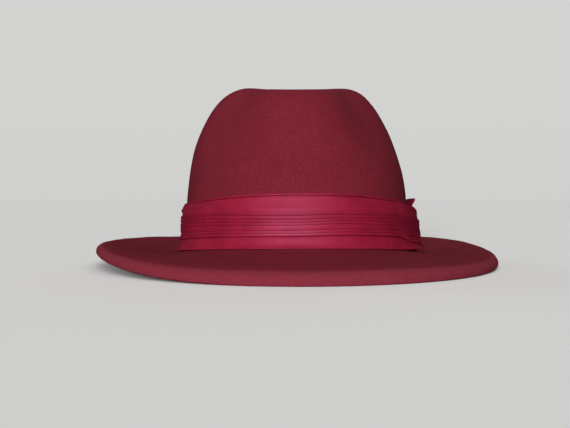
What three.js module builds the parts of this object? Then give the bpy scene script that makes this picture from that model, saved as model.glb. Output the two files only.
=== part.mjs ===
// A lady's fedora: one moulded wool-felt body with a pleated ribbon band.
// Millimetres, +Z up. The hat is first drawn level, with the line where brim meets crown at z = 0,
// facing -Y with the wearer's left at +X. It is then tipped back and set down on the floor at z = 0,
// where it rests on the front edge of its brim and on the back of its base.
import * as THREE from 'three';

// Driving dimensions
const FELT_WALL = 2.0;          // moulded felt
const RIBBON_WALL = 1.0;        // ribbon, at its thinnest
const GAP = 0.3;                // between pieces that touch
const PLEAT_STEP = 0.7;         // how far each pleat's lower edge stands out over the next
const SIDES = 60;               // divisions round the head
const LEAN_BACK_DEG = 4.65;     // tip of the whole hat as it rests, front up
const PRESS = 1.4;              // depth of felt that flattens where it rests
const BRIM_SIDE_SLOPE = 1.25;   // slope of the brim past its sides, against an even slope front to back
const BRIM_SIDE_DROOP = 3.0;    // drop of the brim on the wearer's left, and rise on the right
const DROOP_SKEW = 1.4;         // how much more the brim droops in front than behind
const PINCH_ANGLE_DEG = 47;     // middle of each front pinch, from the front
const PINCH_SPREAD_DEG = 23;
const PINCH_SIDEWAYS = 0.6;     // share of a pinch that pushes back to front

// A table with named columns: one object for each row, with zero where a row is short.
function table(columns, rows) {
  return rows.map((row) => Object.fromEntries(columns.map((column, i) => [column, row[i] ?? 0])));
}

// The felt's outer surface, as rings from the brim's edge to the crease in the top of the crown.
// half: half width; front, back: reach from the middle; zFront, zSide, zBack: heights;
// pinch: depth of the front pinches; lean: shift to the wearer's left; droop: share of the brim's droop.
const FELT_RINGS = table(
  ['name', 'half', 'front', 'back', 'zFront', 'zSide', 'zBack', 'pinch', 'lean', 'droop'],
  [
    ['edge', 138.5, 156.5, 156.5, -22.4, -0.9, 11.0, 0, 0, 1.0],
    ['lip', 137.8, 155.9, 155.8, -18.3, 1.6, 13.4, 0, 0, 0.95],
    ['lip_root', 134.8, 152.8, 152.0, -14.8, 3.3, 14.5, 0, 0, 0.87],
    ['brim', 114.0, 128.0, 128.0, -8.5, 0.9, 8.0, 0, 0, 0.45],
    ['brim_foot', 94.0, 111.5, 110.0, -4.4, -1.6, 1.0, 0, 0, 0.1],
    ['break', 83.0, 102.0, 101.0, -1.0, -1.0, -0.2],
    ['base', 78.6, 97.8, 98.6, 6.0, 6.0, 7.0, 0, 0.2],
    ['band_middle', 77.4, 94.8, 97.2, 19.0, 18.5, 19.0, 0, 0.2],
    ['band_top', 77.5, 92.0, 96.4, 33.0, 31.0, 32.0, 0.5, 0.2],
    ['low_side', 76.1, 87.4, 94.6, 51.0, 50.0, 49.0, 3.0, 0.1],
    ['mid_side', 72.0, 80.4, 91.4, 69.6, 69.6, 66.4, 7.0, -0.7],
    ['high_side', 65.0, 73.4, 86.0, 86.8, 87.4, 81.8, 10.0, -1.0],
    ['shoulder', 56.8, 67.0, 77.4, 98.0, 101.6, 93.0, 11.0, -1.0],
    ['rim_outside', 48.3, 61.0, 68.2, 102.8, 109.8, 98.6, 9.0, -0.6],
    ['rim', 37.6, 53.0, 58.0, 103.3, 113.0, 100.2, 5.0, -0.4],
    ['rim_inside', 27.2, 45.0, 50.0, 101.4, 108.6, 98.2, 2.0, -0.2],
    ['dent', 15.0, 38.0, 44.0, 97.0, 98.2, 93.0],
    ['valley', 6.5, 33.5, 40.5, 93.6, 90.8, 89.4],
    ['crease', 1.6, 30.0, 38.0, 92.0, 89.0, 88.0],
  ],
);
const BREAK = FELT_RINGS.findIndex((ring) => ring.name === 'break');
const BAND_TOP = FELT_RINGS.findIndex((ring) => ring.name === 'band_top');
// Rows that the ribbons' inner faces share with the felt
const FOOT_ROWS = [BREAK + 0.5, BREAK + 1, BREAK + 2];
const LAST_RING = FELT_RINGS.length - 1;

// Angles from the front, in degrees, at which the ribbons' heights over the brim break are given:
// the wearer's right and all the back, the front, three on the wearer's left, and the free end.
const HEIGHT_ANGLES_DEG = [-60, -5, 22, 50, 64, 90];
const RIBBON_TOP = [29.6, 30.1, 30.1, 29.6, 29.0, 25.6];
const BASE_RIBBON_TOP = [31.4, 32.6, 32.6, 31.6, 31.2, 31.2];
const RIBBON_FOLDS = [
  [21.5, 20.2, 20.3, 20.7, 20.3, 17.5],
  [19.0, 17.3, 18.0, 18.6, 17.9, 15.2],
  [16.7, 14.5, 15.5, 16.3, 15.6, 12.8],
  [14.3, 12.0, 13.3, 14.3, 13.0, 10.2],
  [12.2, 10.2, 11.6, 12.4, 10.6, 7.4],
  [9.8, 8.4, 9.6, 9.9, 7.6, 4.4],
  [5.5, 5.0, 5.9, 6.1, 2.6, 1.2],
];
const HEM_ALONG = BREAK - 0.12; // the pleated ribbon's bottom edge, in rings of the felt
const HEM_FLARE = 1.6;          // how much further the bottom edge is lifted at the free end
const FREE_END_DEG = 90;        // where the lifted end of the ribbon is cut
const TUCKED_END_DEG = -288;    // where its other end stops, under the lifted one
const LIFT_START_DEG = 48;
const LIFT_FULL_DEG = 92;
const LIFT = 5.4;               // stand-off at the free end
// A loose fold at the top edge on the wearer's right
const RIPPLE = { angle: -97, spread: 5, height: 28.4, tall: 3.0, out: 3.1 };

// The flat tail behind the free end, in stations from its front edge to its slanted back edge.
// angle: at the bottom and at the top; zLow, zHigh: heights of its edges; out: how far it stands off.
const TAIL_STATIONS = table(
  ['angleLow', 'angleHigh', 'zLow', 'zHigh', 'out'],
  [
    [91.5, 91.5, 1.0, 36.4, 7.3],
    [95, 95, 1.0, 37.0, 5.9],
    [100, 99, 1.4, 37.2, 3.8],
    [106, 103, 2.2, 36.2, 2.1],
    [113, 107.5, 3.0, 34.0, 1.0],
    [120, 112, 3.6, 31.0, 0.6],
  ],
);
// Shares of the tail's height between which it draws in, or turns out again, and how much
const TAIL_WAIST = { from: 0.30, to: 0.85, by: 0.78 };
const TAIL_TIP = { from: 0.84, to: 1.00, by: 0.36 };
const TAIL_ROWS = 9;

// Stand-off of each layer's inner face from the felt, one over the other
const RIBBON_START = GAP + RIBBON_WALL + GAP;
const TAIL_START = RIBBON_START + RIBBON_WALL + PLEAT_STEP + GAP;

const { degToRad, lerp, smoothstep } = THREE.MathUtils;

// ---------- the felt's surface ----------

// A point of one ring. The angle runs from the front towards the wearer's left.
function ringPoint(ring, angle) {
  const { half, front, back, zFront, zSide, zBack, pinch, lean, droop } = ring;
  const side = Math.sin(angle);
  const ahead = Math.cos(angle);
  const point = new THREE.Vector3(half * side, -(ahead > 0 ? front : back) * ahead, 0);

  const pitch = (zFront - zBack) / 2;
  const sideSlope = droop > 0 ? pitch * BRIM_SIDE_SLOPE : pitch;
  const bow = (zFront + zBack) / 2 - zSide;
  point.z = zSide + sideSlope * ahead + bow * ahead ** 2 + (pitch - sideSlope) * ahead ** 3;
  point.z -= BRIM_SIDE_DROOP * droop * side * Math.abs(side) ** 3 * (1 + DROOP_SKEW * ahead);

  const fromFront = Math.abs(Math.atan2(side, ahead));
  const spread = degToRad(PINCH_SPREAD_DEG);
  const depth = pinch * Math.exp(-(((fromFront - degToRad(PINCH_ANGLE_DEG)) / spread) ** 2));
  const inward = new THREE.Vector2(point.x, point.y).normalize().multiplyScalar(depth);
  point.x += lean - inward.x;
  point.y -= PINCH_SIDEWAYS * inward.y;
  return point;
}

// A point of the outer surface: along counts rings, and may fall between them.
function feltPoint(along, angle) {
  const points = FELT_RINGS.map((ring) => ringPoint(ring, angle));
  return new THREE.CatmullRomCurve3(points, false, 'centripetal').getPoint(along / LAST_RING);
}

function feltNormal(along, angle) {
  const step = 0.02;
  const uphill = feltPoint(Math.min(along + step, LAST_RING), angle)
    .sub(feltPoint(Math.max(along - step, 0), angle));
  const around = feltPoint(along, angle + step).sub(feltPoint(along, angle - step));
  return around.cross(uphill).normalize();
}

// A point that stands off the outer surface; a negative stand-off lies inside the felt.
function offFelt(along, angle, standOff) {
  return feltPoint(along, angle).addScaledVector(feltNormal(along, angle), standOff);
}

// The level direction that faces away from the crown at an angle.
function outward(angle) {
  const normal = feltNormal(BREAK + 2, angle);
  return normal.setZ(0).normalize();
}

// A point of a piece that lies close to the felt and is also lifted level away from it.
function lifted(along, angle, standOff, lift) {
  return offFelt(along, angle, standOff).addScaledVector(outward(angle), lift);
}

// Where on the crown's foot the outer surface has a given height.
function alongAtHeight(height, angle, halvings = 24) {
  let low = BREAK;
  let high = BAND_TOP + 1;
  for (let i = 0; i < halvings; i += 1) {
    const middle = (low + high) / 2;
    if (feltPoint(middle, angle).z < height) low = middle;
    else high = middle;
  }
  return low;
}

// ---------- closed solids from rows of points ----------

class Skin {
  constructor() {
    this.points = [];
    this.faces = [];
  }

  addRows(rows) {
    return rows.map((row) => row.map((point) => this.points.push(settle(point)) - 1));
  }

  // Faces between two neighbouring rows, seen with the second row above the first.
  join(lower, upper, isRound) {
    const count = isRound ? lower.length : lower.length - 1;
    for (let i = 0; i < count; i += 1) {
      const next = (i + 1) % lower.length;
      this.faces.push([lower[i], lower[next], upper[next]], [lower[i], upper[next], upper[i]]);
    }
  }

  // Faces between two lines of points that may differ in number, the second to the left of the first.
  zip(right, left) {
    let i = 0;
    let j = 0;
    while (i < right.length - 1 || j < left.length - 1) {
      const stepRight = (i + 1) / (right.length - 1) <= (j + 1) / (left.length - 1);
      if (j === left.length - 1 || (stepRight && i < right.length - 1)) {
        this.faces.push([right[i], right[i + 1], left[j]]);
        i += 1;
      } else {
        this.faces.push([right[i], left[j + 1], left[j]]);
        j += 1;
      }
    }
  }

  // Closes a long narrow ring across its width.
  closeSlit(ring) {
    const count = ring.length;
    for (let i = 0; i < count / 2; i += 1) {
      const a = ring[i];
      const b = ring[i + 1];
      const c = ring[(count - i - 1) % count];
      const d = ring[(count - i) % count];
      if (b !== c) this.faces.push([a, b, c]);
      if (a !== d) this.faces.push([a, c, d]);
    }
  }

  geometry() {
    const geometry = new THREE.BufferGeometry();
    geometry.setAttribute('position', new THREE.Float32BufferAttribute(this.points.flat(), 3));
    geometry.setIndex(this.faces.flat());
    geometry.computeVertexNormals();
    return geometry;
  }
}

// A wall between an outer and an inner set of rows, either a full round or a strip with two ends.
function wall(outerRows, innerRows, isRound) {
  const skin = new Skin();
  const outer = skin.addRows(outerRows);
  const inner = skin.addRows(innerRows);
  const [outerLast, innerLast] = [outer.length - 1, inner.length - 1];
  for (let k = 0; k < outerLast; k += 1) skin.join(outer[k], outer[k + 1], isRound);
  for (let k = 0; k < innerLast; k += 1) skin.join(inner[k + 1], inner[k], isRound);
  skin.join(inner[0], outer[0], isRound);
  skin.join(outer[outerLast], inner[innerLast], isRound);
  if (!isRound) {
    const last = outerRows[0].length - 1;
    skin.zip(inner.map((row) => row[last]), outer.map((row) => row[last]));
    skin.zip(outer.map((row) => row[0]), inner.map((row) => row[0]));
  }
  return skin.geometry();
}

// ---------- setting the hat down ----------

function leanBack(point) {
  return point.clone().applyAxisAngle(new THREE.Vector3(1, 0, 0), -degToRad(LEAN_BACK_DEG));
}

function lowestFelt() {
  let lowest = Infinity;
  for (let i = 0; i < SIDES; i += 1) {
    for (let along = 0; along <= BREAK + 1; along += 0.5) {
      const under = offFelt(along, (i / SIDES) * 2 * Math.PI, -FELT_WALL);
      lowest = Math.min(lowest, leanBack(under).z);
    }
  }
  return lowest;
}

const RISE = -lowestFelt() - PRESS;
const MIDDLE_Y = (leanBack(feltPoint(0, 0)).y + leanBack(feltPoint(0, Math.PI)).y) / 2;

// From the level hat to the floor: tipped, centred, and flat where it would sink into the floor.
function settle(point) {
  const tipped = leanBack(point);
  return [tipped.x, tipped.y - MIDDLE_Y, Math.max(tipped.z + RISE, 0)];
}

// ---------- the pieces ----------

function fullRound() {
  return Array.from({ length: SIDES }, (_, i) => (i / SIDES) * 2 * Math.PI);
}

// Row positions: every ring, and a row between two rings where the felt turns sharply.
function feltRows() {
  const turnsAfter = [
    'edge', 'lip', 'brim_foot', 'break', 'high_side', 'shoulder', 'rim_outside', 'rim', 'rim_inside',
  ];
  return FELT_RINGS.flatMap((ring, i) => (turnsAfter.includes(ring.name) ? [i, i + 0.5] : [i]));
}

function feltBody() {
  const skin = new Skin();
  const rows = feltRows();
  const angles = fullRound();
  const outer = skin.addRows(rows.map((along) => angles.map((angle) => feltPoint(along, angle))));
  const inner = skin.addRows(rows.map((along) => angles.map((angle) => offFelt(along, angle, -FELT_WALL))));
  const last = rows.length - 1;
  for (let k = 0; k < last; k += 1) {
    skin.join(outer[k], outer[k + 1], true);
    skin.join(inner[k + 1], inner[k], true);
  }
  skin.join(inner[0], outer[0], true);
  skin.closeSlit(outer[last]);
  skin.closeSlit(inner[last].slice().reverse());
  return skin.geometry();
}

// Height of a ribbon edge or fold, eased from each given angle to the next.
function foldHeight(fold, angle) {
  return fold.slice(1).reduce((height, next, i) => {
    const [from, to] = [HEIGHT_ANGLES_DEG[i], HEIGHT_ANGLES_DEG[i + 1]].map(degToRad);
    return height + (next - fold[i]) * smoothstep(angle, from, to);
  }, fold[0]);
}

function baseRibbon() {
  const angles = fullRound();
  const top = (angle) => alongAtHeight(foldHeight(BASE_RIBBON_TOP, angle), angle);
  const rowsAt = (standOff) => [
    ...FOOT_ROWS.map((along) => angles.map((angle) => offFelt(along, angle, standOff))),
    angles.map((angle) => offFelt(top(angle), angle, standOff)),
  ];
  return wall(rowsAt(GAP + RIBBON_WALL), rowsAt(GAP), true);
}

// How far the pleated ribbon is lifted off the crown.
function ribbonLift(angle) {
  return LIFT * smoothstep(angle, degToRad(LIFT_START_DEG), degToRad(LIFT_FULL_DEG));
}

// The loose fold at the top edge on the wearer's right.
function ripple(angle, height) {
  const across = (angle - degToRad(RIPPLE.angle)) / degToRad(RIPPLE.spread);
  const up = (height - RIPPLE.height) / RIPPLE.tall;
  return RIPPLE.out * Math.exp(-(across ** 2) - up ** 2);
}

function pleatedRibbon() {
  const steps = Math.round(((FREE_END_DEG - TUCKED_END_DEG) / 360) * SIDES);
  const angles = Array.from({ length: steps + 1 }, (_, i) => (
    degToRad(lerp(TUCKED_END_DEG, FREE_END_DEG, i / steps))));
  const rowAt = (alongOf, out, flare = 0) => angles.map((angle) => {
    const along = alongOf(angle);
    const loose = out > 0 ? ripple(angle, feltPoint(along, angle).z) : 0;
    const lift = ribbonLift(angle) * (1 + flare / LIFT);
    return lifted(along, angle, RIBBON_START + out, lift + loose);
  });
  const onFold = (fold) => (angle) => alongAtHeight(foldHeight(fold, angle), angle);
  const halfway = (lower, upper) => (angle) => (lower(angle) + upper(angle)) / 2;
  const bottom = () => HEM_ALONG;
  const top = onFold(RIBBON_TOP);

  // Outer face, from the bottom strip up: each fold steps in under the pleat above it.
  const folds = RIBBON_FOLDS.map(onFold);
  const outer = [
    rowAt(bottom, RIBBON_WALL, HEM_FLARE),
    rowAt(halfway(bottom, folds.at(-1)), RIBBON_WALL, HEM_FLARE / 4),
  ];
  [...folds].reverse().forEach((fold) => {
    outer.push(rowAt(fold, RIBBON_WALL), rowAt(fold, RIBBON_WALL + PLEAT_STEP));
  });
  outer.push(rowAt(halfway(folds[0], top), RIBBON_WALL), rowAt(top, RIBBON_WALL));

  const inner = [
    rowAt(bottom, 0, HEM_FLARE),
    ...FOOT_ROWS.map((along) => rowAt(() => along, 0)),
    rowAt(top, 0),
  ];
  return wall(outer, inner, false);
}

// How far the tail stands off at a share of its height, against its foot.
function tailBend(share) {
  const drawnIn = TAIL_WAIST.by * smoothstep(share, TAIL_WAIST.from, TAIL_WAIST.to);
  return 1 - drawnIn + TAIL_TIP.by * smoothstep(share, TAIL_TIP.from, TAIL_TIP.to);
}

function ribbonTail() {
  const rowAt = (share, extra) => TAIL_STATIONS.map((station) => {
    const angle = degToRad(lerp(station.angleLow, station.angleHigh, share));
    const along = alongAtHeight(lerp(station.zLow, station.zHigh, share), angle);
    return lifted(along, angle, TAIL_START + extra, station.out * tailBend(share));
  });
  const shares = Array.from({ length: TAIL_ROWS }, (_, k) => k / (TAIL_ROWS - 1));
  const outer = shares.map((share) => rowAt(share, RIBBON_WALL));
  const inner = shares.map((share) => rowAt(share, 0));
  return wall(outer, inner, false);
}

// ---------- materials and the finished hat ----------

const cloth = (name, color, roughness) => (
  new THREE.MeshStandardMaterial({ name, color, roughness, metalness: 0 }));

function piece(name, geometry, material) {
  const mesh = new THREE.Mesh(geometry, material);
  mesh.name = name;
  return mesh;
}

const fedora = new THREE.Group();
fedora.name = 'fedora';
fedora.add(
  piece('felt_body', feltBody(), cloth('wool_felt', 0x6a2230, 0.95)),
  piece('base_ribbon', baseRibbon(), cloth('plain_ribbon', 0x94294a, 0.7)),
  piece('hat_band', pleatedRibbon(), cloth('pleated_ribbon', 0xa0304f, 0.6)),
  piece('ribbon_tail', ribbonTail(), cloth('tail_ribbon', 0x8c2745, 0.6)),
);

export default fedora;
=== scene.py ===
"""A lady's wool-felt fedora with a pleated ribbon band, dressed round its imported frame."""

import math

import bpy
import numpy as np
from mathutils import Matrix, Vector, noise


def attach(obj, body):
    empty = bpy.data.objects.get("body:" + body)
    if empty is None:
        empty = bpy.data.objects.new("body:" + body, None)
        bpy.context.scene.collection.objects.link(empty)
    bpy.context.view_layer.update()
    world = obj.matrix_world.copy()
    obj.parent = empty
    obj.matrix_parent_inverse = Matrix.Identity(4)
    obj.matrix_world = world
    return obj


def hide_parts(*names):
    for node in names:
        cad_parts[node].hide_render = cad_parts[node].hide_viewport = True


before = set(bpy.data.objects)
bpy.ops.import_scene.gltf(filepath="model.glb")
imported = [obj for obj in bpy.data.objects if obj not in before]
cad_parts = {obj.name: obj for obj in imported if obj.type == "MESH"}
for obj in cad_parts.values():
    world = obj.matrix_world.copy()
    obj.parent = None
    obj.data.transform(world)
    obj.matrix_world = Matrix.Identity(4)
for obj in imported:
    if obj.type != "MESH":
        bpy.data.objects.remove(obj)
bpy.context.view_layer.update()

bl_info = {
    "name": "Felt Fedora",
    "version": (1, 0, 0),
    "blender": (4, 5, 0),
    "location": "3D View > Sidebar > Fedora",
    "description": "Builds a pinched felt fedora with a pleated ribbon band",
    "category": "Add Mesh",
}

# ---------- the hat's shape ----------
# Millimetres. The hat is drawn level, with the line where brim meets crown at z = 0, facing -Y with
# the wearer's left at +X. settle() then tips it back, sets it on the floor and gives metres.

MM = 0.001
FELT_WALL = 2.0
GAP = 0.3
RIBBON_WALL = 1.0
PLEAT_STEP = 0.7
LEAN_BACK = math.radians(4.65)
PRESS = 1.4                     # depth of felt that flattens where the hat rests
BRIM_SIDE_SLOPE = 1.25
BRIM_SIDE_DROOP = 3.0
DROOP_SKEW = 1.4                # how much more the brim droops in front than behind
PINCH_ANGLE = math.radians(47)
PINCH_SPREAD = math.radians(23)
PINCH_LENGTHWISE = 0.6          # how far a pinch pushes in lengthwise, against sideways
BAND_START = GAP + RIBBON_WALL + GAP        # the pleated ribbon's inner face, off the felt
TAIL_START = BAND_START + RIBBON_WALL + PLEAT_STEP + GAP

# Rings of the felt's outer surface, from the brim's edge to the crease in the top of the crown:
# half width, reach in front and behind, heights in front, at the sides and behind,
# depth of the front pinches, shift to the wearer's left, share of the brim's droop.
FELT_RINGS = {
    "edge": (138.5, 156.5, 156.5, -22.4, -0.9, 11.0, 0, 0, 1.0),
    "lip": (137.8, 155.9, 155.8, -18.3, 1.6, 13.4, 0, 0, 0.95),
    "lip_root": (134.8, 152.8, 152.0, -14.8, 3.3, 14.5, 0, 0, 0.87),
    "brim": (114.0, 128.0, 128.0, -8.5, 0.9, 8.0, 0, 0, 0.45),
    "brim_foot": (94.0, 111.5, 110.0, -4.4, -1.6, 1.0, 0, 0, 0.1),
    "break": (83.0, 102.0, 101.0, -1.0, -1.0, -0.2, 0, 0, 0),
    "base": (78.6, 97.8, 98.6, 6.0, 6.0, 7.0, 0, 0.2, 0),
    "band_middle": (77.4, 94.8, 97.2, 19.0, 18.5, 19.0, 0, 0.2, 0),
    "band_top": (77.5, 92.0, 96.4, 33.0, 31.0, 32.0, 0.5, 0.2, 0),
    "low_side": (76.1, 87.4, 94.6, 51.0, 50.0, 49.0, 3.0, 0.1, 0),
    "mid_side": (72.0, 80.4, 91.4, 69.6, 69.6, 66.4, 7.0, -0.7, 0),
    "high_side": (65.0, 73.4, 86.0, 86.8, 87.4, 81.8, 10.0, -1.0, 0),
    "shoulder": (56.8, 67.0, 77.4, 98.0, 101.6, 93.0, 11.0, -1.0, 0),
    "rim_outside": (48.3, 61.0, 68.2, 102.8, 109.8, 98.6, 9.0, -0.6, 0),
    "rim": (37.6, 53.0, 58.0, 103.3, 113.0, 100.2, 5.0, -0.4, 0),
    "rim_inside": (27.2, 45.0, 50.0, 101.4, 108.6, 98.2, 2.0, -0.2, 0),
    "dent": (15.0, 38.0, 44.0, 97.0, 98.2, 93.0, 0, 0, 0),
    "valley": (6.5, 33.5, 40.5, 93.6, 90.8, 89.4, 0, 0, 0),
    "crease": (1.6, 30.0, 38.0, 92.0, 89.0, 88.0, 0, 0, 0),
}
RINGS = np.array(list(FELT_RINGS.values()), float)
BREAK = list(FELT_RINGS).index("break")
BAND_MIDDLE = list(FELT_RINGS).index("band_middle")
BAND_TOP = list(FELT_RINGS).index("band_top")
LAST_RING = len(RINGS) - 1

# Angles from the front, in degrees, at which the ribbons' heights over z = 0 are given: the
# wearer's right and all the back, the front, three on the wearer's left, and the free end.
HEIGHT_ANGLES = (-60, -5, 22, 50, 64, 90)
RIBBON_TOP = (29.6, 30.1, 30.1, 29.6, 29.0, 25.6)
BASE_RIBBON_TOP = (31.4, 32.6, 32.6, 31.6, 31.2, 31.2)
# The lower edges of the top strip and of the six wide pleats. A narrow seventh shares the last.
RIBBON_FOLDS = (
    (21.5, 20.2, 20.3, 20.7, 20.3, 17.5),
    (19.0, 17.3, 18.0, 18.6, 17.9, 15.2),
    (16.7, 14.5, 15.5, 16.3, 15.6, 12.8),
    (14.3, 12.0, 13.3, 14.3, 13.0, 10.2),
    (12.2, 10.2, 11.6, 12.4, 10.6, 7.4),
    (9.8, 8.4, 9.6, 9.9, 7.6, 4.4),
    (5.5, 5.0, 5.9, 6.1, 2.6, 1.2),
)
HEM_ALONG = BREAK - 0.12          # the ribbon's bottom edge, in rings of the felt
TUCKED_END = math.radians(-288)
FREE_END = math.radians(90)
# Where each wide pleat's cut edge falls against the free end, from the highest down, in degrees
PLEAT_ENDS_DEG = (-1.6, -0.4, -2.2, -0.8, -2.6, -0.2)
LIFT_START = math.radians(48)
LIFT_FULL = math.radians(92)
LIFT = 5.4                      # how far the band lifts off the felt towards its free end
RIPPLE_ANGLE = math.radians(-97)
RIPPLE_SPREAD = math.radians(5)
RIPPLE_HEIGHT, RIPPLE_TALL, RIPPLE_OUT = 28.4, 3.0, 3.1

# The flat tail behind the free end, in stations from its front edge to its slanted back edge:
# angles at the bottom and the top in degrees, heights of its edges, and how far it stands off.
TAIL_STATIONS = np.array([
    (91.5, 91.5, 1.0, 36.4, 7.3),
    (95, 95, 1.0, 37.0, 5.9),
    (100, 99, 1.4, 37.2, 3.8),
    (106, 103, 2.2, 36.2, 2.1),
    (113, 107.5, 3.0, 34.0, 1.0),
    (120, 112, 3.6, 31.0, 0.6),
])
TAIL_WAIST = (0.30, 0.85, 0.78)     # shares of its height between which it draws in, and how much
TAIL_TIP = (0.84, 1.00, 0.36)       # the same for its corner, which turns out again


def smoothstep(value, low, high):
    share = np.clip((value - low) / (high - low), 0, 1)
    return share * share * (3 - 2 * share)


def mix(a, b, share):
    return a + (b - a) * share


def unit(vectors):
    return vectors / np.linalg.norm(vectors, axis=-1, keepdims=True)


def ring_points(angle):
    """Every ring's point at each angle, counted from the front towards the wearer's left."""
    half, front, back, z_front, z_side, z_back, pinch, lean, droop = RINGS.T[:, :, None]
    side, ahead = np.sin(angle), np.cos(angle)
    x = half * side
    y = -np.where(ahead > 0, front, back) * ahead
    pitch = (z_front - z_back) / 2
    side_slope = np.where(droop > 0, pitch * BRIM_SIDE_SLOPE, pitch)
    bow = (z_front + z_back) / 2 - z_side
    z = z_side + side_slope * ahead + bow * ahead**2 + (pitch - side_slope) * ahead**3
    z -= BRIM_SIDE_DROOP * droop * side * np.abs(side) ** 3 * (1 + DROOP_SKEW * ahead)
    from_front = np.abs(np.arctan2(side, ahead))
    depth = pinch * np.exp(-(((from_front - PINCH_ANGLE) / PINCH_SPREAD) ** 2)) / np.hypot(x, y)
    return np.stack([x + lean - x * depth, y - PINCH_LENGTHWISE * y * depth, z + 0 * x], -1)


def felt_point(along, angle):
    """Points of the outer surface. along counts rings, and may fall between them."""
    along, angle = np.broadcast_arrays(np.asarray(along, float), np.asarray(angle, float))
    shape, along, angle = along.shape, along.ravel(), angle.ravel()
    rings, at = ring_points(angle), np.arange(len(along))
    segment = np.minimum(along.astype(int), LAST_RING - 1)
    share = (along - segment)[:, None]
    p1, p2 = rings[segment, at], rings[segment + 1, at]
    first, last = (segment == 0)[:, None], (segment == LAST_RING - 1)[:, None]
    p0 = np.where(first, 2 * p1 - p2, rings[np.maximum(segment - 1, 0), at])
    p3 = np.where(last, 2 * p2 - p1, rings[np.minimum(segment + 2, LAST_RING), at])
    t0, t1, t2 = (
        np.sum((b - a) ** 2, -1, keepdims=True) ** 0.25 for a, b in ((p0, p1), (p1, p2), (p2, p3))
    )
    rise = p2 - p1
    leave = ((p1 - p0) / t0 - (p2 - p0) / (t0 + t1) + rise / t1) * t1
    arrive = (rise / t1 - (p3 - p1) / (t1 + t2) + (p3 - p2) / t2) * t1
    point = (
        p1 + leave * share + (3 * rise - 2 * leave - arrive) * share**2
        + (leave + arrive - 2 * rise) * share**3
    )
    return point.reshape(*shape, 3)


def felt_normal(along, angle, step=0.02):
    along = np.asarray(along, float)
    uphill = felt_point(np.minimum(along + step, LAST_RING), angle)
    uphill = uphill - felt_point(np.maximum(along - step, 0), angle)
    around = felt_point(along, angle + step) - felt_point(along, angle - step)
    return unit(np.cross(around, uphill))


def off_felt(along, angle, stand_off):
    return felt_point(along, angle) + felt_normal(along, angle) * np.asarray(stand_off)[..., None]


def outward(angle):
    """The level direction away from the crown."""
    return unit(felt_normal(BAND_MIDDLE, angle) * (1, 1, 0))


def lifted(along, angle, stand_off, lift):
    """Points off the felt by stand_off, and then level outwards by lift."""
    return off_felt(along, angle, stand_off) + outward(angle) * np.asarray(lift)[..., None]


def along_at_height(height, angle, halvings=24):
    """Where on the crown's foot the outer surface has a given height."""
    height, angle = np.broadcast_arrays(height, angle)
    low, high = np.full(angle.shape, float(BREAK)), np.full(angle.shape, BAND_TOP + 1.0)
    for _ in range(halvings):
        middle = (low + high) / 2
        below = felt_point(middle, angle)[..., 2] < height
        low, high = np.where(below, middle, low), np.where(below, high, middle)
    return low


def fold_height(fold, angle):
    """Height of one line of the ribbons, eased from each given angle to the next."""
    degrees = np.degrees(angle)
    height = np.full(np.shape(degrees), float(fold[0]))
    for i, rise in enumerate(np.diff(fold)):
        height = height + rise * smoothstep(degrees, HEIGHT_ANGLES[i], HEIGHT_ANGLES[i + 1])
    return height


def ribbon_lift(angle):
    return LIFT * smoothstep(angle, LIFT_START, LIFT_FULL)


def ripple(angle, height):
    """The loose fold at the band's top edge on the wearer's right."""
    across = (angle - RIPPLE_ANGLE) / RIPPLE_SPREAD
    return RIPPLE_OUT * np.exp(-(across**2) - ((height - RIPPLE_HEIGHT) / RIPPLE_TALL) ** 2)


def tail_bend(share):
    """How far the tail stands off at each share of its height, against its foot."""
    waist_from, waist_to, drawn_in = TAIL_WAIST
    tip_from, tip_to, turned_out = TAIL_TIP
    return (1 - drawn_in * smoothstep(share, waist_from, waist_to)
            + turned_out * smoothstep(share, tip_from, tip_to))


def lean_back(vectors):
    x, y, z = np.moveaxis(vectors, -1, 0)
    return np.stack([
        x,
        y * math.cos(LEAN_BACK) + z * math.sin(LEAN_BACK),
        z * math.cos(LEAN_BACK) - y * math.sin(LEAN_BACK),
    ], -1)


def whole_turn(count):
    """Evenly spaced angles all the way round, from the front."""
    return np.arange(count) / count * 2 * math.pi


def resting_place():
    """How far the tipped hat rises to the floor, and where its middle lies front to back."""
    along, angle = np.meshgrid(np.arange(0, BREAK + 1.5, 0.5), whole_turn(60))
    lowest = lean_back(off_felt(along, angle, -FELT_WALL))[..., 2].min()
    front, back = lean_back(felt_point([0, 0], np.array([0, math.pi])))[:, 1]
    return -lowest - PRESS, (front + back) / 2


RISE, MIDDLE_Y = resting_place()


def settle(points):
    """From the level hat in millimetres to the floor in metres, pressed flat where it rests."""
    placed = lean_back(np.asarray(points)) + (0, -MIDDLE_Y, RISE)
    placed[..., 2] = np.maximum(placed[..., 2], 0)
    return placed * MM


# ---------- meshes ----------


def around(rows, columns, is_round):
    """Quads of a grid, with the first row on top and the columns running to the wearer's left."""
    row, column = np.meshgrid(
        np.arange(rows - 1), np.arange(columns - (not is_round)), indexing="ij")
    right = (column + 1) % columns
    quads = [row * columns + column, (row + 1) * columns + column,
             (row + 1) * columns + right, row * columns + right]
    return np.stack(quads, -1).reshape(-1, 4)


def make_mesh(name, points, faces, uv=None):
    """A smooth mesh of points in metres. uv has one pair for each point."""
    mesh = bpy.data.meshes.new(name)
    mesh.from_pydata(points.reshape(-1, 3).tolist(), [], [list(map(int, face)) for face in faces])
    if uv is not None:
        corners = np.empty(len(mesh.loops), np.int32)
        mesh.loops.foreach_get("vertex_index", corners)
        layer = mesh.uv_layers.new(name="UVMap")
        layer.data.foreach_set("uv", uv.reshape(-1, 2)[corners].astype(np.float32).ravel())
    mesh.polygons.foreach_set("use_smooth", [True] * len(mesh.polygons))
    mesh.update()
    return mesh


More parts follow.
